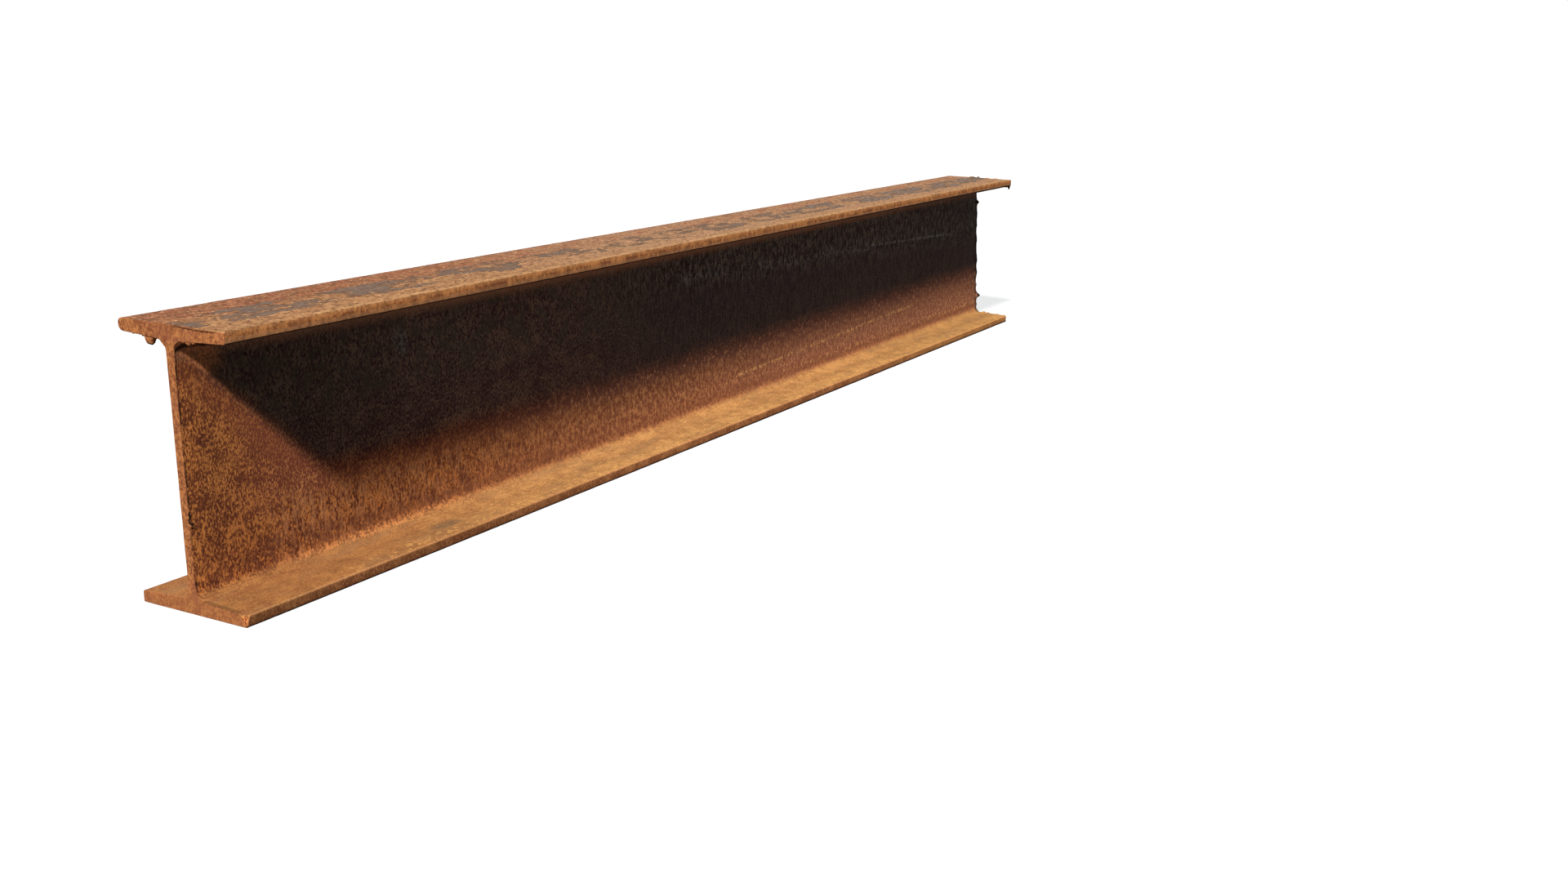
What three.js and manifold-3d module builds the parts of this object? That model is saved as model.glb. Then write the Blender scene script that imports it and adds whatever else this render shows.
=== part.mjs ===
// Rolled steel I-beam, torch-cut to length at both ends and lying on its bottom flange.
// Lengths are in millimetres. +X runs along the beam from the neat cut to the ragged one,
// +Y across the flanges and +Z up. The origin lies under the middle of the bottom flange.

import * as THREE from 'three';
import { ConvexGeometry } from 'three/addons/geometries/ConvexGeometry.js';
import { mergeVertices, toCreasedNormals } from 'three/addons/utils/BufferGeometryUtils.js';
import Module from 'manifold-3d';

// The rolled section
const depth = 200; // over the outer faces of the flanges
const flangeWidth = 100;
const flangeThickness = 10; // half way between the middle of the web and a toe
const webThickness = 7.5;
const innerSlope = 0.05; // fall of a flange's inner face towards its toe
const rootRadius = 8; // from web to flange
const toeRadius = 3.5; // inner corner of a flange's edge
const heelRadius = 2; // outer corner of a flange's edge
const webLean = 2; // how much further towards +Y the web's head was rolled than its foot

// The two torch cuts
const length = 1394; // from the neat end to the furthest corner of the ragged one
const wanderReach = 2.6; // how far the ragged cut strays back and forth
const wanderPitch = 61; // from one slow swing of the torch to the next
const shakePitch = 17; // from one quick swing to the next
const shakeShare = 0.2; // of a slow swing that the quick ones make up
const topFlangeLean = 13; // how much shorter the top flange was cut at its -Y toe
const webTopBack = 17.2; // from the beam's furthest corner back to the cut at the web's head
const webFootBack = 4.5; // and at its foot
const leftFootBack = 11.7; // and to the cut across the bottom flange, at its +Y toe
const rightFootBack = 5; // and at its -Y toe

// Wear on the neat end's edges
const washedStart = 5; // out from the middle of the web to where the top edge melted away
const washedEnd = 41;
const washedDrop = 1.5;
const washedRun = 1.3;
const washedTaper = 10; // from its pointed start to its full section
const crackWidth = 0.7; // under the lip that the washed edge left
const crackDepth = 4;
const crackFloor = 10; // how long it is where it is deepest
const chipWidth = 6.5; // broken corner of the bottom flange's toe, across its upper edge
const chipFoot = 2; // and across its lower edge
const chipRun = 4;
const nicks = [ // in the web's -Y edge, each with its height, its size and how deep it goes
  { height: 71.5, size: 1.6, inwards: 1.7 },
  { height: 68.4, size: 1.4, inwards: 2.2 },
];

// Slag that the cuts left
const burrThickness = 1.2; // sharp lip down the web at the neat end
const hangThickness = 4; // drips under the top flange, along the beam
const ridgeThickness = 5; // the heavier ridges at the ragged end
const hangSetback = 0.8; // from the neat cut to the drips behind it
const burrSetback = 0.25; // and to the lip

const cornerSegments = 7; // in each rounded corner of the section
const slagSegments = 10; // round a ridge of slag
const slagRows = 3; // along a ridge, from one station to the next
const cutStep = 3; // between points along the ragged cut

const cover = 5; // that a cutter runs past what it cuts
const bite = 1.2; // that slag is sunk into the steel
const oversize = 4; // times the size of the break that its cutter is made

const neatEnd = -length / 2;
const raggedEnd = length / 2;
const toe = flangeWidth / 2;
const webFace = webThickness / 2;
const root = flangeThickness + innerSlope * (flangeWidth / 4 - webFace); // flange's, at the web

const wasm = await Module();
wasm.setup();

// Makes a closed geometry a solid for joining and cutting. Its seams are closed first, and the
// flat triangles at the poles of a turned shape are dropped.
function toSolid(geometry) {
  const bare = geometry.clone();
  bare.deleteAttribute('normal');
  bare.deleteAttribute('uv');
  const merged = mergeVertices(bare);
  const triangles = [];
  for (let i = 0; i < merged.index.count; i += 3) {
    const [a, b, c] = [0, 1, 2].map((corner) => merged.index.getX(i + corner));
    if (a !== b && b !== c && c !== a) triangles.push(a, b, c);
  }
  return new wasm.Manifold(new wasm.Mesh({
    numProp: 3,
    vertProperties: new Float32Array(merged.attributes.position.array),
    triVerts: new Uint32Array(triangles),
  }));
}

function toGeometry(solid) {
  const mesh = solid.getMesh();
  const geometry = new THREE.BufferGeometry();
  geometry.setAttribute('position', new THREE.BufferAttribute(mesh.vertProperties, 3));
  geometry.setIndex(new THREE.BufferAttribute(mesh.triVerts, 1));
  return geometry;
}

// Extrudes an outline drawn in Y and Z along the beam.
function alongBeam(outline, from, to) {
  const axes = new THREE.Matrix4().set(0, 0, 1, from, 1, 0, 0, 0, 0, 1, 0, 0, 0, 0, 0, 1);
  const settings = { depth: to - from, bevelEnabled: false, curveSegments: cornerSegments };
  return new THREE.ExtrudeGeometry(outline, settings).applyMatrix4(axes);
}

// Extrudes an outline drawn in X and Z across the beam.
function acrossBeam(outline, from, to) {
  const axes = new THREE.Matrix4().set(1, 0, 0, 0, 0, 0, -1, to, 0, 1, 0, 0, 0, 0, 0, 1);
  const settings = { depth: to - from, bevelEnabled: false };
  return new THREE.ExtrudeGeometry(outline, settings).applyMatrix4(axes);
}

// Extrudes an outline drawn in X and Y upwards.
function upwards(outline, from, to) {
  const settings = { depth: to - from, bevelEnabled: false };
  return new THREE.ExtrudeGeometry(outline, settings).translate(0, 0, from);
}

// Draws a closed outline through its corners, each rounded to its own radius.
function roundedOutline(corners) {
  const outline = new THREE.Shape();
  corners.forEach(({ point, radius }, i) => {
    const before = corners.at(i - 1).point.clone().sub(point).normalize();
    const after = corners[(i + 1) % corners.length].point.clone().sub(point).normalize();
    const halfAngle = Math.acos(before.dot(after)) / 2;
    const inwards = before.clone().add(after).normalize();
    const centre = point.clone().addScaledVector(inwards, radius / Math.sin(halfAngle));
    const setback = radius / Math.tan(halfAngle);
    const start = point.clone().addScaledVector(before, setback).sub(centre);
    const end = point.clone().addScaledVector(after, setback).sub(centre);
    const hollow = before.cross(after) > 0;
    outline.absarc(centre.x, centre.y, radius, start.angle(), end.angle(), hollow);
  });
  return outline;
}

// A flange's thickness at a distance out from the middle of the web, without its root fillet.
function flangeAt(out) {
  return flangeThickness + innerSlope * (flangeWidth / 4 - Math.abs(out));
}

// The same with the fillet that runs from the web's face into the flange.
function rootedFlangeAt(out) {
  const fromCentre = webFace + rootRadius - Math.abs(out);
  const tilt = Math.hypot(1, innerSlope);
  if (fromCentre < (rootRadius * innerSlope) / tilt) return flangeAt(out);
  const centre = flangeAt(webFace + rootRadius) + rootRadius * tilt;
  return centre - Math.sqrt(Math.max(rootRadius ** 2 - fromCentre ** 2, 0));
}

// Where the middle of the leaning web stands across the beam, at a height.
function webAt(height) {
  return THREE.MathUtils.mapLinear(height, root, depth - root, 0, webLean);
}

// The rolled bar: the two flanges taper towards their rounded toes, and a fillet runs along
// each of the four roots. One quarter is drawn and mirrored up and across, then the web leans.
function rolledBar() {
  const quarter = [
    { point: new THREE.Vector2(toe, 0), radius: heelRadius },
    { point: new THREE.Vector2(toe, flangeAt(toe)), radius: toeRadius },
    { point: new THREE.Vector2(webFace, root), radius: rootRadius },
  ];
  const mirrored = (corners, place) =>
    corners.map(({ point, radius }) => ({ point: place(point), radius })).reverse();
  const upper = mirrored(quarter, (point) => new THREE.Vector2(point.x, depth - point.y));
  const half = [...quarter, ...upper];
  const otherHalf = mirrored(half, (point) => new THREE.Vector2(-point.x, point.y));
  const section = [...half, ...otherHalf];
  const roots = section.filter(({ point }) => Math.abs(point.x) < toe);
  for (const { point } of roots) point.x += webAt(point.y);
  return toSolid(alongBeam(roundedOutline(section), neatEnd, raggedEnd));
}

// The ragged end was cut in three goes. Each has the place where it starts and ends, how far back
// from the beam's furthest corner it is there, and where in its swing the torch began.
const cuts = {
  bottomFlange: { from: -toe, to: toe, back: [rightFootBack, leftFootBack], swing: 1 },
  web: { from: 0, to: depth, back: [webFootBack, webTopBack], swing: 2 },
  topFlange: { from: -toe, to: toe, back: [topFlangeLean, 0], swing: 4 },
};

// Where along the beam a cut runs, at a place along it. Quick swings ride on the slow ones.
function cutAt(place, { from, to, back, swing }) {
  const slow = Math.sin((2 * Math.PI * place) / wanderPitch + swing);
  const quick = Math.sin((2 * Math.PI * place) / shakePitch + 3 * swing);
  const swung = slow * (1 - shakeShare + shakeShare * quick);
  const wander = (wanderReach * (1 + swung)) / 2;
  return raggedEnd - THREE.MathUtils.mapLinear(place, from, to, ...back) - wander;
}

// What a cut takes off the ragged end, drawn from one place along it to another.
function kerf(from, to, cut) {
  const steps = Math.ceil((to - from) / cutStep);
  const outline = new THREE.Shape();
  outline.moveTo(raggedEnd + cover, to);
  outline.lineTo(raggedEnd + cover, from);
  for (let step = 0; step <= steps; step += 1) {
    const place = from + ((to - from) * step) / steps;
    outline.lineTo(cutAt(place, cut), place);
  }
  return outline;
}

// Each flange's cut runs across its whole width, and the web's from one flange to the other.
function raggedCuts() {
  const wide = toe + cover;
  const narrow = webFace + rootRadius + cover;
  return [
    toSolid(upwards(kerf(-wide, wide, cuts.bottomFlange), -cover, root)),
    toSolid(upwards(kerf(-wide, wide, cuts.topFlange), depth - root, depth + cover)),
    toSolid(acrossBeam(kerf(root, depth - root, cuts.web), -narrow, narrow)),
  ];
}

// The neat end's top edge on the -Y side, where the flame washed off a strip that begins in a
// point near the web. It left a lip with a crack running in under it.
function washedEdge() {
  const past = washedRun / 2;
  const rise = (past * washedDrop) / washedRun;
  const strip = [washedStart + washedTaper, toe + cover].flatMap((out) => [
    new THREE.Vector3(neatEnd - past, -out, depth - washedDrop - rise),
    new THREE.Vector3(neatEnd + washedRun + past, -out, depth + rise),
    new THREE.Vector3(neatEnd - past, -out, depth + rise),
  ]);
  strip.push(new THREE.Vector3(neatEnd - past, -washedStart, depth + rise));
  return toSolid(new ConvexGeometry(strip));
}

// The crack is long at its mouth and short at its floor.
function crack() {
  const mouth = depth - washedDrop;
  const middle = (washedStart + washedEnd) / 2;
  return toSolid(new ConvexGeometry([
    new THREE.Vector3(neatEnd - cover, -washedStart, mouth),
    new THREE.Vector3(neatEnd - cover, -middle, mouth + crackWidth / 2),
    new THREE.Vector3(neatEnd - cover, -middle, mouth - crackWidth / 2),
    new THREE.Vector3(neatEnd - cover, -washedEnd, mouth),
    new THREE.Vector3(neatEnd + crackDepth, -middle + crackFloor / 2, mouth - crackWidth / 2),
    new THREE.Vector3(neatEnd + crackDepth, -middle - crackFloor / 2, mouth - crackWidth / 2),
  ]));
}

// The nicks in the web's -Y edge at the neat end: pointed bites.
function edgeNicks() {
  return nicks.map(({ height, size, inwards }) => {
    const bit = new THREE.OctahedronGeometry(1).scale(2 * inwards, 2 * inwards, size);
    return toSolid(bit.translate(neatEnd, webAt(height) - webFace - inwards, height));
  });
}

// The corner that broke off the bottom flange's -Y toe at the neat end. The break is one flat
// face through a point on each of the corner's three edges.
function brokenCorner() {
  const face = [
    new THREE.Vector3(neatEnd, chipWidth - toe, flangeAt(chipWidth - toe)),
    new THREE.Vector3(neatEnd, chipFoot - toe, 0),
    new THREE.Vector3(neatEnd + chipRun, -toe, flangeAt(toe)),
  ];
  const middle = new THREE.Triangle(...face).getMidpoint(new THREE.Vector3());
  const outwards = new THREE.Vector3(neatEnd, -toe, flangeAt(toe) / 2).sub(middle);
  const wide = face.map((point) => middle.clone().lerp(point, oversize));
  const past = wide.map((point) => point.clone().addScaledVector(outwards, oversize));
  return toSolid(new ConvexGeometry([...wide, ...past]));
}

// The edges that slag clings to. Each gives the point in Y and Z that stands a distance out of
// the steel, at a place measured across from the web's middle or a toe, or up or down the web.
const edges = {
  topFace: (y, out) => [y, depth + out],
  topUnderside: (y, out) => [y, depth - rootedFlangeAt(y - webLean) - out],
  leftToeUnderside: (inset, out) => [toe - inset, depth - flangeAt(toe - inset) - out],
  rightToeUnderside: (inset, out) => [inset - toe, depth - flangeAt(inset - toe) - out],
  rightToeUpperside: (inset, out) => [inset - toe, flangeAt(inset - toe) + out],
  webUp: (height, out) => [webAt(height) - webFace - out, height],
  webDown: (drop, out) => [webAt(depth - drop) - webFace - out, depth - drop],
};

// A ridge of slag along an edge: a rod that swells and thins through its stations of
// [place, distance out], and sinks out of sight in between. The stations run anticlockwise round
// the section as seen from the neat end. The rod's near side stands at the x that sideAt gives
// for a point in Y and Z, and it is so thick along the beam.
function ridge(edge, sideAt, thickness, stations) {
  const swell = new THREE.SplineCurve(stations.map(([place, out]) => new THREE.Vector2(place, out)));
  const rows = (stations.length - 1) * slagRows;
  const rod = new THREE.CylinderGeometry(0.5, 0.5, 1, slagSegments, rows);
  const corners = rod.attributes.position;
  for (let i = 0; i < corners.count; i += 1) {
    const { x: place, y: swollen } = swell.getPoint(corners.getY(i) + 0.5);
    const [y, z] = edges[edge](place, (swollen + bite) * (corners.getZ(i) + 0.5) - bite);
    corners.setXYZ(i, sideAt(y, z) + thickness * (0.5 + corners.getX(i)), y, z);
  }
  return toSolid(rod);
}

// The neat end's slag: a sharp lip down the -Y side of the web with a torn spur low down, and
// under the top flange a drip with the skirt that joins it to the root, two nibs and a wedge.
function neatSlag() {
  const atCut = () => neatEnd + burrSetback;
  const behindCut = () => neatEnd + hangSetback;
  return [
    ridge('webUp', atCut, burrThickness, [
      [8, 0.8], [24, 0.7], [40, 0.3], [58, 0.5], [62, 0.9], [64.5, 2.9], [66, 0.6], [70, 0.2],
      [76, 0.3], [90, 0.2], [108, 0.8], [120, -0.5],
    ]),
    ridge('webDown', atCut, burrThickness, [
      [84, -0.5], [66, 0.6], [52, 1.0], [38, 0.3], [26, 0.9], [8, 0.8],
    ]),
    ridge('topUnderside', behindCut, hangThickness, [
      [26.2, -0.6], [25.6, 2.2], [25.1, 4.6], [23.6, 5.3], [21.2, 5.2], [19.6, 4.2], [18.7, 1.8],
      [17.2, 0.9], [14.6, 0.8], [11.8, 1.2], [9.4, 2.4], [7.4, 3.0], [6.2, 1.8], [5, -0.4],
    ]),
    ridge('leftToeUnderside', behindCut, hangThickness, [
      [10, -0.7], [12.3, 0.8], [14.5, -0.3], [20, -0.2], [21.8, 1.3], [23.5, -0.6],
    ]),
    ridge('topUnderside', atCut, hangThickness, [
      [-12.6, -0.6], [-14.4, 1.6], [-15.8, 2.2], [-18.8, 1.2], [-25, -0.6],
    ]),
  ];
}

// The ragged end's slag: beads along the top edge and the bottom flange, nubs and lumps down the
// web, and teeth under the top flange, the longest at the -Y corner.
function raggedSlag() {
  const onTopFlange = (y) => cutAt(y, cuts.topFlange) - ridgeThickness;
  const onWeb = (y, z) => cutAt(z, cuts.web) - ridgeThickness;
  const onBottomFlange = (y) => cutAt(y, cuts.bottomFlange) - ridgeThickness;
  return [
    ridge('topFace', onTopFlange, ridgeThickness, [
      [-32, -0.6], [-27, 1.1], [-23, -0.4], [-18.5, -0.2], [-16, 0.8], [-14.5, 0.2], [-13, 1.1],
      [-10, -0.4], [-2.5, -0.2], [0.5, 2.2], [3, 0.3], [6, 0.4], [11, 1.4], [18, -0.6],
    ]),
    ridge('webUp', onWeb, ridgeThickness, [
      [14, -0.2], [20, 0.9], [25, 0.2], [30, 1.4], [34.5, 6.3], [39, 1.3], [45, 0.1], [50, 1.5],
      [55, 0.1], [68, 1.8], [77, 0.2], [84, 1.3], [98, 0.1], [116, 1.5], [128, -0.6],
    ]),
    ridge('webDown', onWeb, ridgeThickness, [
      [76, -0.6], [66, 0.7], [58, 0.1], [50, 1.0], [42, 0.3], [36.5, 1.4], [33, 4.2], [30, 1.4],
      [25, 0.8], [14, -0.2],
    ]),
    ridge('rightToeUnderside', onTopFlange, ridgeThickness, [
      [17, -0.6], [12, 0.9], [9.4, 1.4], [8, 0.3], [6.4, 2.3], [4.6, 0.8], [3, 3.9], [1.9, 4.7],
      [1, 0.4],
    ]),
    ridge('leftToeUnderside', onTopFlange, ridgeThickness, [
      [5, -0.6], [12, 1.1], [20, -0.2], [28, 1.4], [38, -0.6],
    ]),
    ridge('rightToeUpperside', onBottomFlange, ridgeThickness, [
      [1.5, 0.1], [2.6, 0.9], [6, -0.3], [10, -0.2], [13, 1.0], [17, -0.3], [24, -0.3],
      [27, 1.3], [30, 0.2], [33, 1.8], [39, -0.6],
    ]),
  ];
}

function iBeam() {
  let steel = rolledBar();
  for (const cut of [...raggedCuts(), washedEdge(), brokenCorner()]) steel = steel.subtract(cut);
  for (const slag of [...neatSlag(), ...raggedSlag()]) steel = steel.add(slag);
  for (const gap of [crack(), ...edgeNicks()]) steel = steel.subtract(gap);
  return toCreasedNormals(toGeometry(steel), Math.PI / 5);
}

const rustedSteel = new THREE.MeshStandardMaterial({
  color: 0x8a4f2a,
  roughness: 0.9,
  metalness: 0.15,
});

const beam = new THREE.Mesh(iBeam(), rustedSteel);
beam.name = 'i_beam';

const model = new THREE.Group();
model.add(beam);

export default model;
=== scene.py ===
import math

import bmesh
import bpy
from mathutils import Matrix, Vector, noise
from mathutils.geometry import delaunay_2d_cdt


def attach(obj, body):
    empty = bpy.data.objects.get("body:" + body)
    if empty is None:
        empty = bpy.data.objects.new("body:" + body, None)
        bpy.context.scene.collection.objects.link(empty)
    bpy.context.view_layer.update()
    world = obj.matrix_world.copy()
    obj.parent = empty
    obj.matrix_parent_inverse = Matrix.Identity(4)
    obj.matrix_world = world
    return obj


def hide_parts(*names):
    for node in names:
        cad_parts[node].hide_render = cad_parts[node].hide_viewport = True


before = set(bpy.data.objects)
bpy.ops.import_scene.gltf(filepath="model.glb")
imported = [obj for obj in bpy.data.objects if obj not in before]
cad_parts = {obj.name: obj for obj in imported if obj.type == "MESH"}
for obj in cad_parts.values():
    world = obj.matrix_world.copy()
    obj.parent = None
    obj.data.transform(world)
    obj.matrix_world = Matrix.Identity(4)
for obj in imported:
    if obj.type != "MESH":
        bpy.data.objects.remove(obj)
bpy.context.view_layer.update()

mm = 0.001


# ---- The rolled bar ----------------------------------------------------------------------
# Structural steel, hot-rolled to one I section all along: two flanges that taper towards their
# toes, and a web that runs into them through a fillet in each root. The section is swept along X.

class Port:
    """A socket of a node tree that takes part in sums as a plain number does."""

    def __init__(self, net, socket):
        self.net = net
        self.socket = socket

    def sum(self, operation, *terms):
        ports = [t for t in terms if isinstance(t, Port)]
        flat = all(p.socket.type not in ("VECTOR", "RGBA") for p in ports)
        kind = "ShaderNodeMath" if flat else "ShaderNodeVectorMath"
        return self.net.node(kind, dict(enumerate(terms)), operation=operation)

    def __add__(self, other):
        return self.sum("ADD", self, other)

    def __sub__(self, other):
        return self.sum("SUBTRACT", self, other)

    def __rsub__(self, other):
        return self.sum("SUBTRACT", other, self)

    def __mul__(self, other):
        return self.sum("MULTIPLY", self, other)

    def __truediv__(self, other):
        return self.sum("DIVIDE", self, other)

    def __mod__(self, other):
        return self.sum("FLOORED_MODULO", self, other)

    def __neg__(self):
        return self.sum("MULTIPLY", self, -1)

    def __abs__(self):
        return self.sum("ABSOLUTE", self)

    __radd__ = __add__
    __rmul__ = __mul__

    def clip(self):
        """The same number, kept from 0 to 1."""
        return self.net.node("ShaderNodeClamp", {"Value": self})

    def rise(self, low, high):
        """0 below low and 1 above high, with a soft step between them. High may be the lower."""
        ends = {"Value": self, "From Min": low, "From Max": high}
        return self.net.node("ShaderNodeMapRange", ends, interpolation_type="SMOOTHSTEP")

    def axes(self):
        """The three numbers of a vector."""
        split = self.net.node("ShaderNodeSeparateXYZ", {0: self}).socket.node
        return [Port(self.net, socket) for socket in split.outputs]


class Net:
    """A node tree, written as expressions."""

    def __init__(self, tree):
        self.tree = tree

    def node(self, kind, values=None, out=0, items=0, **settings):
        """Adds a node, sets it up, fills its inputs by name or number and gives one output."""
        made = self.tree.nodes.new(kind)
        for name, value in settings.items():
            setattr(made, name, value)
        for _ in range(items - 2):
            made.index_switch_items.new()
        for place, value in (values or {}).items():
            shown = [s for s in made.inputs if s.enabled]
            by_name = [s for s in shown if s.name == place]
            socket = by_name[0] if by_name else shown[place]
            if isinstance(value, Port):
                self.tree.links.new(value.socket, socket)
            elif socket.type == "RGBA":
                socket.default_value = (*value, 1)
            elif socket.type == "VECTOR" and isinstance(value, (int, float)):
                socket.default_value = (value,) * 3
            else:
                socket.default_value = value
        shown = [s for s in made.outputs if s.enabled]
        named = [s for s in shown if s.name == out]
        return Port(self, named[0] if named else shown[out])

    def end(self, kind, last):
        """Ends the tree with its output node."""
        ending = self.tree.nodes.new(kind)
        self.tree.links.new(last.socket, ending.inputs[0])


class Recipe(Net):
    """A Geometry Nodes tree with named inputs, which makes or works one mesh."""

    def __init__(self, name, **sizes):
        super().__init__(bpy.data.node_groups.new(name, "GeometryNodeTree"))
        face = self.tree.interface
        face.new_socket("Geometry", in_out="INPUT", socket_type="NodeSocketGeometry")
        face.new_socket("Geometry", in_out="OUTPUT", socket_type="NodeSocketGeometry")
        kinds = {int: "NodeSocketInt", float: "NodeSocketFloat"}
        self.identifiers = {}
        for size, value in sizes.items():
            kind = kinds.get(type(value), "NodeSocketMaterial")
            socket = face.new_socket(size, in_out="INPUT", socket_type=kind)
            self.identifiers[size] = socket.identifier
        self.sizes = sizes
        given = self.tree.nodes.new("NodeGroupInput")
        self.ports = {socket.name: Port(self, socket) for socket in given.outputs}

    def finish(self, geometry, material):
        """Ends the tree: the instances are made real and the faces get their material."""
        real = self.node("GeometryNodeRealizeInstances", {0: geometry})
        done = self.node("GeometryNodeSetMaterial", {0: real, "Material": material})
        self.end("NodeGroupOutput", done)

    def apply(self, piece):
        """Works a piece with the tree and leaves it a plain mesh."""
        modifier = piece.modifiers.new(self.tree.name, "NODES")
        modifier.node_group = self.tree
        for size, value in self.sizes.items():
            modifier[self.identifiers[size]] = value
        settle(piece)


def settle(piece):
    """Takes what a piece's modifiers make as its own mesh, and removes them."""
    evaluated = piece.evaluated_get(bpy.context.evaluated_depsgraph_get())
    made = bpy.data.meshes.new_from_object(evaluated)
    piece.modifiers.clear()
    old = piece.data
    piece.data = made
    bpy.data.meshes.remove(old)


def new_piece(name, corners=(), faces=()):
    """An object with a mesh of its own, in the scene."""
    mesh = bpy.data.meshes.new(name)
    mesh.from_pydata(corners, [], faces)
    piece = bpy.data.objects.new(name, mesh)
    bpy.context.scene.collection.objects.link(piece)
    return piece


depth = 200 * mm
flange_width = 100 * mm
flange_thickness = 10 * mm
web_thickness = 7.5 * mm
inner_slope = 0.05
root_radius = 8 * mm
toe_radius = 1.5 * mm
worn_toe_radius = 4.2 * mm  # of the top flange's +Y edge, which has been knocked round
heel_radius = 0.8 * mm
worn_heel_radius = 3 * mm
web_lean = 2 * mm  # further towards +Y at the web's head than at its foot
length = 1394 * mm

neat_end = -length / 2
ragged_end = length / 2
toe = flange_width / 2
web_face = web_thickness / 2

rusted_steel = bpy.data.materials.new("rusted_steel")

rolling = Recipe(
    "rolling", Depth=depth, Width=flange_width, Flange=flange_thickness, Web=web_thickness,
    Slope=inner_slope, Root=root_radius, Toe=toe_radius, Heel=heel_radius, Lean=web_lean,
    Length=length, **{"Worn Toe": worn_toe_radius, "Worn Heel": worn_heel_radius},
    Rounding=6, Spacing=9 * mm, Rows=520, Crowding=0.8, Steel=rusted_steel,
)
sizes = rolling.ports

# The section starts as twelve sharp corners, three to each quarter of it: 0 is the flange's heel,
# 1 its toe and 2 the web's root. Every second quarter has them the other way round.
outline = rolling.node("GeometryNodeMeshLine", {"Count": 12})
number = rolling.node("GeometryNodeInputIndex")
quarter = rolling.node("ShaderNodeMath", {0: number / 3}, operation="FLOOR")
corner = abs(quarter % 2 * 2 - number % 3)
upper = rolling.node("ShaderNodeMath", {0: abs(quarter - 1.5), 1: 1}, operation="LESS_THAN")
side = 1 - 2 * rolling.node("ShaderNodeMath", {0: quarter, 1: 1.5}, operation="GREATER_THAN")


def by_corner(heel_value, toe_value, root_value):
    """The value of each corner, by which of the three it is."""
    values = {0: corner, "0": heel_value, "1": toe_value, "2": root_value}
    return rolling.node("GeometryNodeIndexSwitch", values, items=3, data_type="FLOAT")


half_width = sizes["Width"] / 2
quarter_width = sizes["Width"] / 4
half_web = sizes["Web"] / 2
across = by_corner(half_width, half_width, half_web) * side
across = across + by_corner(0.0, 0.0, sizes["Lean"]) * upper
toe_height = sizes["Flange"] + sizes["Slope"] * (quarter_width - half_width)
root_height = sizes["Flange"] + sizes["Slope"] * (quarter_width - half_web)
from_face = by_corner(0.0, toe_height, root_height)
up = from_face + upper * (sizes["Depth"] - 2 * from_face)
placed = rolling.node(
    "GeometryNodeSetPosition",
    {0: outline, "Position": rolling.node("ShaderNodeCombineXYZ", {"X": across, "Y": up})},
)
ring = rolling.node(
    "GeometryNodeSetSplineCyclic",
    {0: rolling.node("GeometryNodeMeshToCurve", {0: placed}), "Cyclic": True},
)

# The corners are rounded and the flats divided. The section is then swept along the bar, in rows
# that crowd towards its ends.
worn_side = upper * (1 + side) / 2
heel_round = sizes["Heel"] + (sizes["Worn Heel"] - sizes["Heel"]) * worn_side
toe_round = sizes["Toe"] + (sizes["Worn Toe"] - sizes["Toe"]) * worn_side
radius = by_corner(heel_round, toe_round, sizes["Root"])
rounded = rolling.node(
    "GeometryNodeFilletCurve", {0: ring, "Count": sizes["Rounding"], "Radius": radius},
    mode="POLY",
)
points = rolling.node("GeometryNodeAttributeDomainSize", {0: rounded}, component="CURVE")
here = rolling.node("GeometryNodeInputPosition")
following = rolling.node(
    "GeometryNodeFieldAtIndex", {"Value": here, "Index": (number + 1) % points},
    data_type="FLOAT_VECTOR",
)
stretch = rolling.node("ShaderNodeVectorMath", {0: here, 1: following}, operation="DISTANCE")
section = rolling.node(
    "GeometryNodeSubdivideCurve", {0: rounded, "Cuts": stretch / sizes["Spacing"]})
straight = rolling.node("GeometryNodeCurvePrimitiveLine", {"End": (0, 0, 1)})
line = rolling.node("GeometryNodeResampleCurve", {0: straight, "Count": sizes["Rows"]})
along = rolling.node("GeometryNodeSplineParameter")
swing = rolling.node("ShaderNodeMath", {0: along * math.tau}, operation="SINE") / math.tau
graded = (along - 0.5 - swing * sizes["Crowding"]) * sizes["Length"]
path = rolling.node(
    "GeometryNodeSetPosition",
    {0: line, "Position": rolling.node("ShaderNodeCombineXYZ", {"Z": graded})},
)
swept = rolling.node("GeometryNodeCurveToMesh", {0: path, "Profile Curve": section})
reach, height, run = rolling.node("GeometryNodeInputPosition").axes()
laid = rolling.node(
    "GeometryNodeSetPosition",
    {0: swept, "Position": rolling.node("ShaderNodeCombineXYZ", {0: run, 1: reach, 2: height})},
)
rolling.finish(laid, sizes["Steel"])

beam = new_piece("steel_beam")
rolling.apply(beam)


# ---- The torch cuts ----------------------------------------------------------------------
# Both ends were cut by hand with an oxy-fuel torch. The neat end is square, with its edges melted
# round. The ragged one was cut in three goes, one for each flange and one for the web.

face_spacing = 1.6 * mm  # of the small faces that close an end
rim_margin = 0.55 * face_spacing
weld_gap = 1e-7  # within which two points are one
melted_radius = 0.4 * mm
wander_reach = 2.6 * mm  # how far back the hand strayed from a ragged cut's line
wander_pitch = 61 * mm
shake_pitch = 17 * mm
grain_depth = 0.5 * mm  # of the ragged cut's fine roughness
grain_pitch = 7 * mm
hollow_depth = 0.3 * mm  # of the neat cut's shallow hollows
hollow_pitch = 14 * mm
hollow_reach = 3 * mm  # behind the neat cut, within which the hollows fade
squeeze = 70 * mm  # of the bar behind the ragged cut, which is drawn up to it


def flange_at(out):
    """A flange's thickness at a distance out from the web's middle, without its fillet."""
    return flange_thickness + inner_slope * (flange_width / 4 - abs(out))


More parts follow.
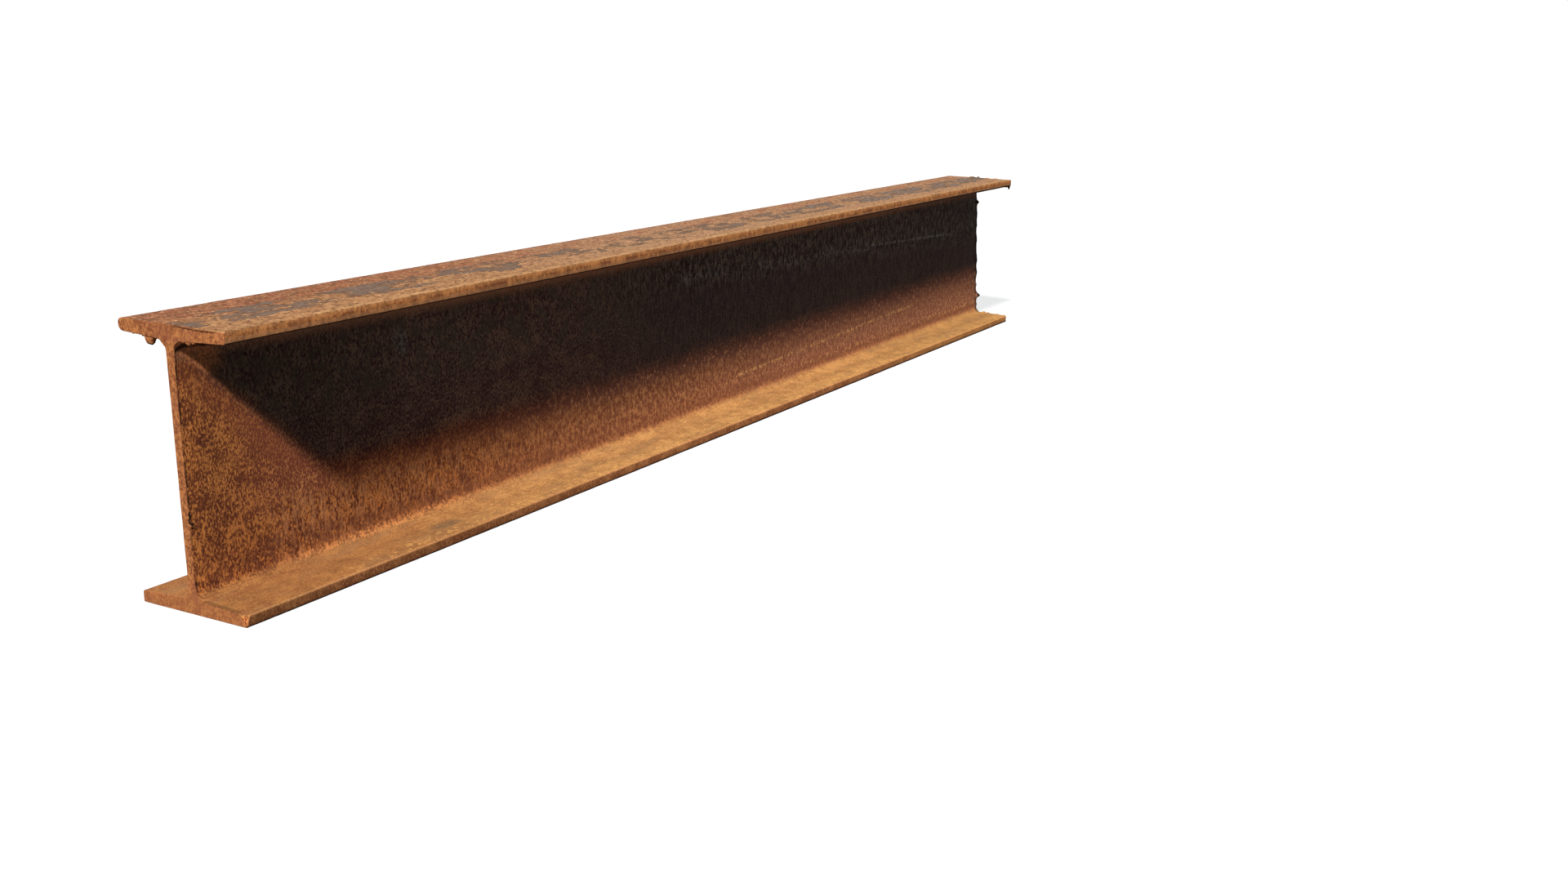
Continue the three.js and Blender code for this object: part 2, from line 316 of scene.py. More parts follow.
def rooted_flange_at(out):
    """The same with the fillet that runs from the web's face into the flange."""
    from_centre = web_face + root_radius - abs(out)
    tilt = math.hypot(1, inner_slope)
    if from_centre < root_radius * inner_slope / tilt:
        return flange_at(out)
    centre = flange_at(web_face + root_radius) + root_radius * tilt
    return centre - math.sqrt(max(root_radius ** 2 - from_centre ** 2, 0))


root = flange_at(web_face)


def web_at(height):
    """Where the middle of the leaning web stands across the beam, at a height."""
    return web_lean * (height - root) / (depth - 2 * root)


# Each cut runs from a start to an end, across or up. It stands back from the bar's full length by
# one amount at its start and another at its end.
bottom_cut = {"start": -toe, "end": toe, "back": (5 * mm, 11.7 * mm), "swing": 1}
web_cut = {"start": 0, "end": depth, "back": (4.5 * mm, 17.2 * mm), "swing": 2}
top_cut = {"start": -toe, "end": toe, "back": (13 * mm, 0), "swing": 4}


def cut_at(place, start, end, back, swing):
    """Where along the beam a ragged cut runs, at a place along it."""
    slow = math.sin(math.tau * place / wander_pitch + swing)
    quick = math.sin(math.tau * place / shake_pitch + 3 * swing)
    wander = wander_reach * (5 + 4 * slow + quick * slow) / 10
    share = (place - start) / (end - start)
    return ragged_end - back[0] - (back[1] - back[0]) * share - wander


def ragged_at(across, height):
    """Where the ragged end's face stands, at a point of the section."""
    if height < root:
        return cut_at(across, **bottom_cut)
    if height > depth - root:
        return cut_at(across, **top_cut)
    return cut_at(height, **web_cut)


def in_section(across, height, margin):
    """Whether a point of the section lies at least a margin inside its outline."""
    from_face = min(height, depth - height)
    if abs(across) > toe - margin or from_face < margin:
        return False
    from_web = across - web_at(height)
    return abs(from_web) < web_face - margin or from_face < rooted_flange_at(from_web) - margin


def close_end(bm, end):
    """Fills an open end of the bar with small faces, which the cut can then shape."""
    rim = [e for e in bm.edges if e.is_boundary and abs(e.verts[0].co.x - end) < mm]
    ring = [rim[0].verts[0]]
    ahead = rim[0]
    while len(ring) < len(rim):
        ring.append(ahead.other_vert(ring[-1]))
        ahead = next(e for e in ring[-1].link_edges if e.is_boundary and e != ahead)
    flat = [Vector(v.co.yz) for v in ring]
    rows = int(depth / face_spacing)
    columns = int(flange_width / face_spacing)
    for row in range(1, rows):
        for column in range(columns + 1):
            across = (column + 0.5 * (row % 2)) * face_spacing - toe
            height = row * face_spacing
            if in_section(across, height, rim_margin):
                flat.append(Vector((across, height)))
    loop = list(range(len(ring)))
    spots, _, triangles, *_ = delaunay_2d_cdt(flat, [], [loop], 1, weld_gap)
    corners = ring + [bm.verts.new((end, *spot)) for spot in spots[len(ring):]]
    for triangle in triangles:
        bm.faces.new([corners[c] for c in triangle])


bm = bmesh.new()
bm.from_mesh(beam.data)
bm.normal_update()
outwards = {v: v.normal.copy() for v in bm.verts}
for end in (neat_end, ragged_end):
    close_end(bm, end)
for v, normal in outwards.items():
    inwards = max(0, min(v.co.x - neat_end, ragged_end - v.co.x))
    if inwards < melted_radius:
        gone = melted_radius - inwards
        v.co -= normal * (melted_radius - math.sqrt(melted_radius ** 2 - gone ** 2))
for v in bm.verts:
    behind = ragged_end - v.co.x
    if behind < squeeze:
        cut_back = ragged_end - ragged_at(v.co.y, v.co.z)
        cut_back += grain_depth * abs(noise.noise(v.co.yzx / grain_pitch))
        v.co.x -= cut_back * (1 - behind / squeeze)
    on_neat_face = max(0, 1 - (v.co.x - neat_end) / hollow_reach)
    hollow = 0.5 + 0.5 * noise.noise(v.co.yzx / hollow_pitch)
    v.co.x += hollow_depth * on_neat_face * hollow ** 2
bmesh.ops.recalc_face_normals(bm, faces=bm.faces)
bm.to_mesh(beam.data)
bm.free()


def tool(name, rings):
    """A closed solid, skinned over rings of the same number of corners and capped."""
    size = len(rings[0])
    corners = [corner for ring in rings for corner in ring]
    faces = [list(range(size))[::-1], [len(corners) - size + i for i in range(size)]]
    for start in range(0, len(corners) - size, size):
        for i in range(size):
            j = (i + 1) % size
            faces.append((start + i, start + j, start + size + j, start + size + i))
    made = new_piece(name, corners, faces)
    bm = bmesh.new()
    bm.from_mesh(made.data)
    bmesh.ops.recalc_face_normals(bm, faces=bm.faces)
    bmesh.ops.triangulate(bm, faces=[f for f in bm.faces if len(f.verts) > 4])
    bm.to_mesh(made.data)
    bm.free()
    return made


def work(operation, made):
    """Joins a solid to the beam or cuts it away. The solid itself is then thrown out."""
    modifier = beam.modifiers.new("work", "BOOLEAN")
    modifier.solver = "MANIFOLD"
    modifier.operation = operation
    modifier.object = made
    settle(beam)
    bpy.data.objects.remove(made)


neat_mm = neat_end / mm
opening = 1  # how far a crack's cutter stands out of the end, in mm as the next three are
thinnest = 0.02  # half the least width of a crack
full_depth_half = 0.25  # half the width from which on a crack has its full depth
least_depth = 0.3


def cleft(name, stations, deep):
    """A crack into the neat end, in mm. Each station is (across, height, half its width)."""
    rings = []
    for i, (y, z, half) in enumerate(stations):
        before = Vector(stations[max(i - 1, 0)][:2])
        after = Vector(stations[min(i + 1, len(stations) - 1)][:2])
        along = (after - before).normalized()
        off = Vector((-along.y, along.x)) * max(half, thinnest)
        fade = min(1, half / full_depth_half)
        rings.append([
            Vector((neat_mm - opening, y + off.x, z + off.y)) * mm,
            Vector((neat_mm - opening, y - off.x, z - off.y)) * mm,
            Vector((neat_mm + deep * fade + least_depth, y, z)) * mm,
        ])
    work("DIFFERENCE", tool(name, rings))


# Under the top flange's upper edge, where the flame washed off a strip and left a lip.
cleft("lip_crack", [
    (-4, 199.9, 0.1), (-6.5, 199.2, 0.25), (-10, 198.7, 0.3), (-14, 198.6, 0.25),
    (-18, 198.5, 0.35), (-22, 198.0, 0.3), (-26, 198.1, 0.4), (-29, 197.8, 0.45),
    (-31, 198.3, 0.3), (-33.5, 197.9, 0.4), (-36, 198.2, 0.2), (-41, 198.4, 0.05),
], 3.5)
# Down the web's edge and into the root.
cleft("foot_crack", [
    (-2.8, 60, 0.1), (-2.7, 50, 0.2), (-3.1, 38, 0.25), (-3, 27, 0.3), (-3.8, 19.5, 0.35),
    (-5.2, 14.6, 0.3), (-7.8, 11.6, 0.1),
], 2)


# ---- The washed edge, the nicks and the broken corner ------------------------------------
# Small wear on the neat end: a strip of the top edge that the flame washed off, two pointed bites
# in the web's edge, and the corner that broke off the bottom flange's toe.

def hull(name, corners):
    """The convex solid round some points, given in millimetres."""
    made = new_piece(name, [Vector(c) * mm for c in corners])
    bm = bmesh.new()
    bm.from_mesh(made.data)
    shell = bmesh.ops.convex_hull(bm, input=bm.verts)
    loose = [v for v in shell["geom_interior"] + shell["geom_unused"] if v.is_valid]
    bmesh.ops.delete(bm, geom=list(set(loose)), context="VERTS")
    bmesh.ops.recalc_face_normals(bm, faces=bm.faces)
    bm.to_mesh(made.data)
    bm.free()
    return made


# The washed strip's cutter comes to a point over the top face and widens from there to the right.
strip_front = neat_mm - 0.6
strip_back = neat_mm + 1.9
strip_foot = 197.9
strip_top = 200.7
strip_point = (strip_front, -5, 200.5)
strip_ends = (-20, -55)
washed = [strip_point]
for across in strip_ends:
    washed += [(strip_front, across, strip_foot), (strip_back, across, strip_top),
               (strip_front, across, strip_top)]
work("DIFFERENCE", hull("washed_strip", washed))

nicks = ((71.5, 1.6, 1.7), (68.4, 1.4, 2.2))  # each (height, half its height, its reach)
for height, half_height, reach in nicks:
    middle = Vector((neat_mm, (web_at(height * mm) - web_face) / mm - reach, height))
    tips = [middle + Vector(tip) for tip in (
        (2 * reach, 0, 0.3), (-2 * reach, 0, 0), (0, 2 * reach, 0.4), (0, -2 * reach, -0.4),
        (0, 0, half_height), (0, 0, -half_height),
    )]
    work("DIFFERENCE", hull("nick", tips))

# The broken face goes through three points of the corner's edges, and the cutter is that face made
# larger and drawn outwards.
break_face = [
    Vector((neat_mm, -43.5, 9.1)), Vector((neat_mm, -48, 0)), Vector((neat_mm + 4, -50, 8.7)),
]
lost_corner = Vector((neat_mm, -50, 4.4))
larger = 4
middle = sum(break_face, Vector()) / 3
off_the_toe = (lost_corner - middle) * larger
wide = [middle + (point - middle) * larger for point in break_face]
work("DIFFERENCE", hull("broken_corner", wide + [point + off_the_toe for point in wide]))


# ---- The slag ----------------------------------------------------------------------------
# Oxidised iron that the torch blew out of the cuts and that froze on their edges: a sharp lip down
# the web and drips under the top flange at the neat end, and beads and teeth at the ragged end.

hold = 1.2  # how deep a ridge sits in the steel, in mm as all of this section is
lump_size = 2.2
lump_height = 0.45
full_lump_width = 3  # of a ridge, under which its lumps get smaller
least_inset = 0.05  # how far behind the neat cut all of the slag stays
lip_inset = 0.25  # the same for the front of a ridge, before its lumps
drip_inset = 0.8
lip_width = 1.2
drip_width = 4
tooth_width = 5
toe_mm = toe / mm
depth_mm = depth / mm
lump_seed = 3
noise.seed_set(lump_seed)


def flange_mm(out):
    """A flange's thickness, as flange_at gives it, in millimetres."""
    return flange_at(out * mm) / mm


def rooted_mm(out):
    """The same with the fillet."""
    return rooted_flange_at(out * mm) / mm


def web_side(height):
    """Where the web's right face stands across, at a height."""
    return (web_at(height * mm) - web_face) / mm


# The point across and up that stands a distance out of the steel, at a place along an edge.
edges = {
    "top_face": lambda y, out: (y, depth_mm + out),
    "top_underside": lambda y, out: (y, depth_mm - rooted_mm(y - web_lean / mm) - out),
    "left_toe_underside": lambda inset, out: (
        toe_mm - inset, depth_mm - flange_mm(toe_mm - inset) - out),
    "right_toe_underside": lambda inset, out: (
        inset - toe_mm, depth_mm - flange_mm(inset - toe_mm) - out),
    "right_toe_upperside": lambda inset, out: (inset - toe_mm, flange_mm(inset - toe_mm) + out),
    "web_up": lambda height, out: (web_side(height) - out, height),
    "web_down": lambda drop, out: (web_side(depth_mm - drop) - out, depth_mm - drop),
}


def eased(stations, share):
    """A smooth way through the stations, at a share of the way from the first to the last."""
    span = min(int(share * (len(stations) - 1)), len(stations) - 2)
    t = share * (len(stations) - 1) - span
    around = [stations[min(max(span + k, 0), len(stations) - 1)] for k in (-1, 0, 1, 2)]
    ways = []
    for a, b, c, d in zip(*around):
        slope, bend, twist = c - a, 2 * a - 5 * b + 4 * c - d, 3 * (b - c) + d - a
        ways.append(b + 0.5 * t * (slope + t * (bend + t * twist)))
    return ways


def ridge(edge, front_at, width, stations, rows=5, round_it=12):
    """A lumpy ridge of slag along an edge. Each station is (place along it, height over it)."""
    rings = []
    total = (len(stations) - 1) * rows
    for row in range(total + 1):
        place, out = eased(stations, row / total)
        ring = []
        for k in range(round_it):
            turn = math.tau * k / round_it
            y, z = edges[edge](place, (out + hold) * (0.5 + 0.5 * math.cos(turn)) - hold)
            x = front_at(y, z) + width * (0.5 + 0.5 * math.sin(turn))
            corner = Vector((x, y, z))
            lump = noise.noise_vector(corner / lump_size) * lump_height
            corner += lump * min(1, width / full_lump_width)
            corner.x = max(corner.x, neat_mm + least_inset)
            ring.append(corner * mm)
        rings.append(ring)
    work("UNION", tool("slag", rings))


# Where the front of a ridge stands along the beam, at a point across and up
def at_cut(y, z):
    return neat_mm + lip_inset


def behind_cut(y, z):
    return neat_mm + drip_inset


# At the neat end: the web's lip in two runs, and the drips under the top flange.
ridge("web_up", at_cut, lip_width, [
    (8, 0.1), (24, 0.1), (40, 0), (58, 0.1), (62, 0.4), (64.5, 2.0), (66, 0.3), (70, 0),
    (76, 0.1), (90, -0.1), (108, 0.1), (120, -0.5),
], rows=12)
ridge("web_down", at_cut, lip_width, [
    (84, -0.5), (66, 0), (52, 0.2), (38, -0.1), (26, 0.2), (8, 0.1),
], rows=16)
ridge("top_underside", behind_cut, drip_width, [
    (26.4, -0.6), (25.9, 2.4), (25.4, 5.0), (23.8, 5.9), (21.2, 5.8), (19.4, 4.8), (18.2, 2.0),
    (17, 0.9), (14.6, 0.8), (11.8, 1.2), (9.4, 2.4), (7.4, 3.0), (6.2, 1.8), (5, -0.4),
])
ridge("left_toe_underside", behind_cut, drip_width, [
    (10, -0.7), (12.3, 0.8), (14.5, -0.3), (20, -0.2), (21.8, 1.3), (23.5, -0.6),
])
ridge("top_underside", at_cut, drip_width, [
    (-9, -0.6), (-11.2, 1.5), (-13, 0.7), (-15, 2.6), (-17, 2.4), (-18.6, 1.1), (-20.4, 1.7),
    (-23, 0.6), (-28, -0.6),
])


def behind_top_cut(y, z):
    return cut_at(y * mm, **top_cut) / mm - tooth_width


def behind_web_cut(y, z):
    return cut_at(z * mm, **web_cut) / mm - tooth_width


def behind_foot_cut(y, z):
    return cut_at(y * mm, **bottom_cut) / mm - tooth_width


# At the ragged end: beads on the top, teeth on the web, and drips on the toes.
ridge("top_face", behind_top_cut, tooth_width, [
    (-32, -0.6), (-27, 1.1), (-23, -0.4), (-18.5, -0.2), (-16, 0.8), (-14.5, 0.2), (-13, 1.1),
    (-10, -0.4), (-2.5, -0.2), (0.5, 2.0), (3, 0.3), (6, 0.4), (11, 1.4), (18, -0.6),
])
ridge("web_up", behind_web_cut, tooth_width, [
    (14, -0.2), (20, 0.9), (25, 0.2), (30, 1.4), (34.5, 6.3), (39, 1.3), (45, 0.1), (50, 1.5),
    (55, 0.1), (68, 1.8), (77, 0.2), (84, 1.3), (98, 0.1), (116, 1.5), (128, -0.6),
])
ridge("web_down", behind_web_cut, tooth_width, [
    (76, -0.6), (66, 0.7), (58, 0.1), (50, 1.0), (42, 0.3), (36.5, 1.4), (33, 4.2), (30, 1.4),
    (25, 0.8), (14, -0.2),
])
ridge("right_toe_underside", behind_top_cut, tooth_width, [
    (17, -0.6), (12, 0.9), (9.4, 1.4), (8, 0.3), (6.4, 2.3), (4.6, 0.8), (3, 3.9), (1.9, 4.7),
    (1, 0.4),
])
ridge("left_toe_underside", behind_top_cut, tooth_width, [
    (5, -0.6), (12, 1.1), (20, -0.2), (28, 1.4), (38, -0.6),
])
ridge("right_toe_upperside", behind_foot_cut, tooth_width, [
    (1.5, 0.1), (2.6, 0.9), (6, -0.3), (10, -0.2), (13, 1.0), (17, -0.3), (24, -0.3),
    (27, 1.3), (30, 0.2), (33, 1.8), (39, -0.6),
])


# ---- The rust ----------------------------------------------------------------------------
# Years in the open have pitted every face by a few tenths of a millimetre and roughened the edges.
# Ochre rust covers the steel, with red-brown scabs in it and grey mill scale left over the web,
# which is also painted dark as shadow. Light and shade are painted on in other places too.

pitting = Recipe(
    "pitting", **{"Pit Depth": 0.2 * mm, "Pit Size": 5 * mm, "Wave Depth": 0.2 * mm,
                  "Wave Size": 34 * mm, "Flat Share": 0.3, "Steel": rusted_steel})
pits = pitting.ports
where = pitting.node("GeometryNodeInputPosition")
facing = pitting.node("GeometryNodeInputNormal")
aside = where.axes()[1]


def hollows(size):
    """Where hollows of about that size lie, from 0 to 1 at their deepest."""
    scaled = {"Vector": where / size, "Scale": 1.0, "Detail": 1.0, "Roughness": 0.5}
    return pitting.node("ShaderNodeTexNoise", scaled).rise(0.42, 0.75)


at_toes = 0.4 * abs(aside).rise(toe - 6 * mm, toe - 2 * mm)
worn = hollows(pits["Pit Size"]) * pits["Pit Depth"]
worn = worn + hollows(pits["Wave Size"]) * pits["Wave Depth"]
worn = worn * (pits["Flat Share"] + (1 - pits["Flat Share"]) * at_toes)
offset = pitting.node("ShaderNodeVectorMath", {0: facing, "Scale": -worn}, operation="SCALE")
pitting.finish(
    pitting.node("GeometryNodeSetPosition", {0: pits["Geometry"], "Offset": offset}),
    pits["Steel"])
pitting.apply(beam)
sharp_angle = math.radians(50)
for face in beam.data.polygons:
    face.use_smooth = True
beam.data.set_sharp_from_angle(angle=sharp_angle)


def painted(owner):
    """An empty node tree for a material or for the world."""
    owner.use_nodes = True
    owner.node_tree.nodes.clear()
    return Net(owner.node_tree)


# Everything below is in millimetres: X along the bar from its middle, Y across to the left and Z
# up from the floor. A rise gives a zone, by where it begins and where it is full.
rust = painted(rusted_steel)
spot = rust.node("ShaderNodeTexCoord", out="Object") * 1000
X, Y, Z = spot.axes()


def clouds(size, detail=2.0, roughness=0.5, stretch=(1, 1, 1), shift=0):
    """Soft random patches of about that size, drawn out along an axis."""
    scale = tuple(1 / (size * s) for s in stretch)
    place = spot * rust.node("ShaderNodeCombineXYZ", dict(enumerate(scale))) + shift
    return rust.node(
        "ShaderNodeTexNoise",
        {"Vector": place, "Scale": 1.0, "Detail": detail, "Roughness": roughness})


def tint(first, second, share):
    """One colour laid over another by a share."""
    return rust.node(
        "ShaderNodeMix", {"Factor": share, "A": first, "B": second}, data_type="RGBA")


def layered(skin, **layers):
    """A skin with layers laid over it in turn. Each is a colour and its share, by its name."""
    for name, (colour, share) in layers.items():
        skin = tint(skin, colour, share)
        skin.socket.node.label = name.replace("_", " ")
    return skin


def stroke(u, v, half, points):
    """A soft line through points of a face, with half its width."""
    drawn = 0
    for (u0, v0), (u1, v1) in zip(points, points[1:]):
        du, dv = u1 - u0, v1 - v0
        span = (((u - u0) * du + (v - v0) * dv) / (du * du + dv * dv)).clip()
        gap = rust.node("ShaderNodeCombineXYZ", {0: u - u0 - span * du, 1: v - v0 - span * dv})
        gap = rust.node("ShaderNodeVectorMath", {0: gap}, operation="LENGTH", out="Value")
        drawn = drawn + gap.rise(half, half * 0.3)
    return drawn.clip()


grain = clouds(0.8, 1, 0.6)
speckle = clouds(1.35, 4, 0.68, stretch=(1, 1, 1.8))
flecks = clouds(3.4, 3, 0.62, stretch=(1.2, 1, 1.7), shift=83)
blotches = clouds(7, 3, 0.6, shift=31)
clusters = clouds(15, 3, 0.55, shift=71)
patches = clouds(48, 3, 0.55, shift=57)
drips = clouds(2.0, 4, 0.66, stretch=(1, 1, 6), shift=41)
mottle = 0.5 * flecks + 0.5 * clouds(2.2, 3, 0.65, shift=19)
scabs = 0.9 * speckle + 0.1 * flecks + 0.22 * (clusters - 0.5) + 0.08 * (patches - 0.5)
coarse = 0.45 * speckle + 0.55 * flecks + 0.05 * (patches - 0.5)

to_ragged = X.rise(-520, -120)  # from the rust of the neat end to that of the ragged one
on_web = 1 - abs(Y).rise(9, 14)
slant = X + 1.12 * Z  # its level lines run down the web from the neat end's head
bottom_flange = Z.rise(20, 10)

# The web's lower part, and whatever has no skin of its own. By the neat end the rust is ochre with
# red-brown scabs and has run down in drips, with painted shade along the flange's shadow edge.
dripped = drips.rise(0.47, 0.57) * X.rise(-650, -600) * Z.rise(72, 56)
# Painted shade: dark flecks, with a few bright ones, over the band where the top flange's shadow
# edge falls
freckled = tint((0.24, 0.068, 0.035), (0.80, 0.33, 0.12), (1 - scabs).rise(0.50, 0.60))
inward = X.rise(-672, -625) * Z.rise(45, 70)
tide = Z.rise(15, 20) * Z.rise(42, 26) * blotches.rise(0.45, 0.55)
# Painted shade: a darker, redder band along the lit side of the top flange's shadow edge,
# softening it
by_scale = slant.rise(-534, -498) * Z.rise(50, 75)
neat_skin = layered(
    (0.69, 0.25, 0.067),
    scabs=((0.20, 0.055, 0.023), scabs.rise(0.415, 0.54)),
    deep_scabs=((0.09, 0.032, 0.020), scabs.rise(0.54, 0.63) * 0.75),
    reddened=((0.24, 0.066, 0.038), inward * (0.1 + 0.6 * speckle.rise(0.43, 0.51))),
    drips=((0.70, 0.30, 0.13), dripped * 0.48),
    freckles=(freckled, X.rise(-640, -590) * Z.rise(56, 70) * 0.7),
    tide_mark=((0.15, 0.05, 0.03), tide * 0.5),
    last_bared=((0.28, 0.075, 0.038), by_scale * 0.4),
)
# Painted shade: the web's head is darkened under the top flange
darker_head = 1 - 0.22 * Z.rise(156, 168) - 0.33 * Z.rise(172, 178)
# Painted light: the web's edge by the neat cut is made paler where the grazing light leaves it
# dark
paler_rim = tint((1, 1, 1), (1.2, 1.18, 1.1), X.rise(-680, -690))
neat_skin = neat_skin * darker_head * paler_rim

# Towards the ragged end it is browner, with fine pale flecks.
farthest = layered(
    (0.52, 0.225, 0.125),
    brown=((0.36, 0.145, 0.088), coarse.rise(0.42, 0.54)),
    pale_specks=((1.0, 0.52, 0.24), (1 - speckle).rise(0.555, 0.63) * 0.8),
)
# Painted shade: the same flecked band at the shadow's lower edge, and a greyer tint just above it
pale_freckled = tint((0.30, 0.132, 0.095), (1.0, 0.48, 0.28), (1 - coarse).rise(0.52, 0.60))
ragged_skin = layered(
    (0.74, 0.33, 0.135),
    brown=((0.30, 0.102, 0.053), coarse.rise(0.40, 0.56)),
    pale_flecks=((0.85, 0.43, 0.17), (1 - flecks).rise(0.62, 0.70) * 0.4),
    farthest=(farthest, X.rise(-150, 200) * 0.8),
    freckles=(pale_freckled, Z.rise(52, 68) * 0.75),
    greyed=((0.40, 0.21, 0.15), Z.rise(68, 82) * 0.6),
)
# Darker low on the web, above the foot
wet_foot = Z.rise(31, 20) * X.rise(-620, -520) * (0.4 + 0.15 * X.rise(-100, 200))
skin = layered(
    neat_skin,
    ragged_end=(ragged_skin, to_ragged),
    wet_foot=((0.25, 0.095, 0.045), wet_foot),
)

# The web's upper part, where grey-green mill scale is left under a thin rust, painted dark as the
# top flange's shadow too: its edge follows that shadow down the web from the neat end's head.
in_upper = (Z + 8 * (patches - 0.5) + 24 * (scabs - 0.5)).rise(66, 86) * on_web
in_upper = in_upper * (slant + 16 * (scabs - 0.5)).rise(-500, -474)
neat_scale = layered(
    (0.34, 0.201, 0.125),
    scabs=((0.084, 0.034, 0.034), scabs.rise(0.41, 0.55)),
    green=((0.18, 0.145, 0.085), Z.rise(110, 130) * clusters.rise(0.46, 0.6) * 0.4),
)
# Painted shade: the scale is made darker towards the shadow's edge by the neat end
neat_scale = neat_scale * (0.68 + 0.52 * (X + 0.5 * Z).rise(-570, -330))
low_mottle = (0.6 * speckle + 0.4 * drips).rise(0.43, 0.56)
high_mottle = (0.5 * drips + 0.5 * mottle).rise(0.43, 0.53)
low_scale = tint((0.215, 0.14, 0.113), (0.075, 0.048, 0.043), low_mottle)
high_scale = tint((0.385, 0.29, 0.215), (0.062, 0.037, 0.032), high_mottle)
above_score = (Z - 143 + 0.036 * (X - 216) + 24 * (clusters - 0.5)).rise(-26, 3)
ragged_scale = tint(low_scale, high_scale, above_score) * (1 - 0.15 * X.rise(350, 600))
bald = stroke(X, Z, 11, [(-487, 158), (-484, 152)]) * (1 - speckle).rise(0.45, 0.56)
web_scale = layered(
    neat_scale,
    ragged_end=(ragged_scale, X.rise(-330, -60)),
    bald_spot=((0.45, 0.44, 0.36), bald * 0.4),
)
# Painted light: a bright band on the web just under the top flange, standing in for light thrown
# back up from below
under_flange = (Z + 5 * (flecks - 0.5)).rise(171, 181) * (1 - Z.rise(189, 192)) * on_web
under_flange = under_flange * (1 - 0.6 * scabs.rise(0.42, 0.54) * X.rise(-600, -650))
under_share = 0.5 + 0.25 * X.rise(-600, -400) - 0.3 * X.rise(300, 550)
# Painted light: a warmer, lighter patch in the tip of the top flange's shadow by the neat end
bare_corner = X.rise(-652, -672) * Z.rise(160, 170) * slant.rise(-497, -484) * on_web
thin_score = stroke(X, Z, 2.4, [(340, 142), (453, 137), (583, 132)])
broad_score = stroke(X, Z, 6, [(-80, 154), (216, 143), (353, 141.7)])
score = thin_score * (1 - mottle).rise(0.46, 0.54)
score = score + broad_score * (1 - mottle).rise(0.48, 0.56) * 0.5
run = stroke(X, Z, 2.6, [(10, 37), (215, 43.5), (468, 51)]) * (1 - mottle).rise(0.49, 0.55)
low_run = stroke(X, Z, 4, [(120, 24), (680, 26)]) * (1 - mottle).rise(0.52, 0.58)
skin = layered(
    skin,
    # Partly mill scale and partly painted shadow of the top flange
    mill_scale=(web_scale, in_upper),
    under_flange=((0.80, 0.355, 0.175), under_flange * under_share),
    bare_corner=((0.80, 0.27, 0.09), bare_corner * (0.8 - 0.5 * scabs.rise(0.45, 0.55))),
    score=((0.58, 0.52, 0.42), score.clip() * in_upper * 0.6),
    runs=((1.0, 0.55, 0.20), (run + low_run * 0.7).clip() * on_web * 0.8),
)

# The top face, with a ragged band of mill scale along its middle
on_top = Z.rise(198.0, 199.3)
ragged_band = (Y + 3 * (flecks - 0.5) + 5 * (blotches - 0.5)).rise(18, 15.5)
ragged_band = ragged_band * (Y + 8 * (flecks - 0.5) + 18 * (blotches - 0.5)).rise(-28, -22)
more_scale = X.rise(100, 300) * 2.0 - X.rise(-500, -300) * 1.1
waves = rust.node("ShaderNodeMath", {0: (X + 621) * (math.tau / 118)}, operation="COSINE")
scale_left = clouds(14, 5, 0.66, stretch=(2.2, 1, 1), shift=11)
scale_left = scale_left + 0.22 * (ragged_band - 1) + 0.22 * (mottle - 0.5)
scale_left = scale_left + 0.03 * more_scale + 0.035 * waves - 0.2 * X.rise(664, 684)
fringe = scale_left.rise(0.465, 0.495)
scale_left = scale_left.rise(0.495, 0.55)
left_half = tint((0.33, 0.12, 0.052), (0.22, 0.095, 0.042), blotches.rise(0.42, 0.6))
right_half = tint((0.41, 0.20, 0.082), (0.32, 0.145, 0.062), blotches.rise(0.42, 0.6))
bare_scale = tint((0.17, 0.11, 0.07), (0.23, 0.175, 0.14), X.rise(-100, 300))
bare_scale = tint(bare_scale, (0.07, 0.037, 0.022), mottle.rise(0.44, 0.55))
right_edge = Y.rise(-41, -45) * (0.7 - 0.4 * X.rise(-600, -660))
top_skin = layered(
    right_half,
    left_half=(left_half, Y.rise(-15, 20)),
    browned=((0.39, 0.213, 0.112), to_ragged * 0.75),
    red_clusters=((0.30, 0.085, 0.045), clusters.rise(0.48, 0.6) * Y.rise(5, 25) * 0.5),
    right_edge=((0.52, 0.27, 0.11), right_edge),
    left_edge=((0.20, 0.08, 0.04), Y.rise(39, 46) * 0.22),
    pits=((0.08, 0.033, 0.016), mottle.rise(0.51, 0.60) * 0.9),
    crumbs=((0.75, 0.43, 0.21), (1 - mottle).rise(0.53, 0.65) * 0.85),
    fringe=((0.10, 0.052, 0.03), fringe * 0.7),
    mill_scale=(bare_scale, scale_left * (0.72 + 0.18 * X.rise(-100, 200))),
)
skin = layered(
    skin,
    top=(top_skin, on_top),
    beads=((0.52, 0.31, 0.14), Z.rise(200.3, 200.7) * mottle.rise(0.6, 0.45)),
)

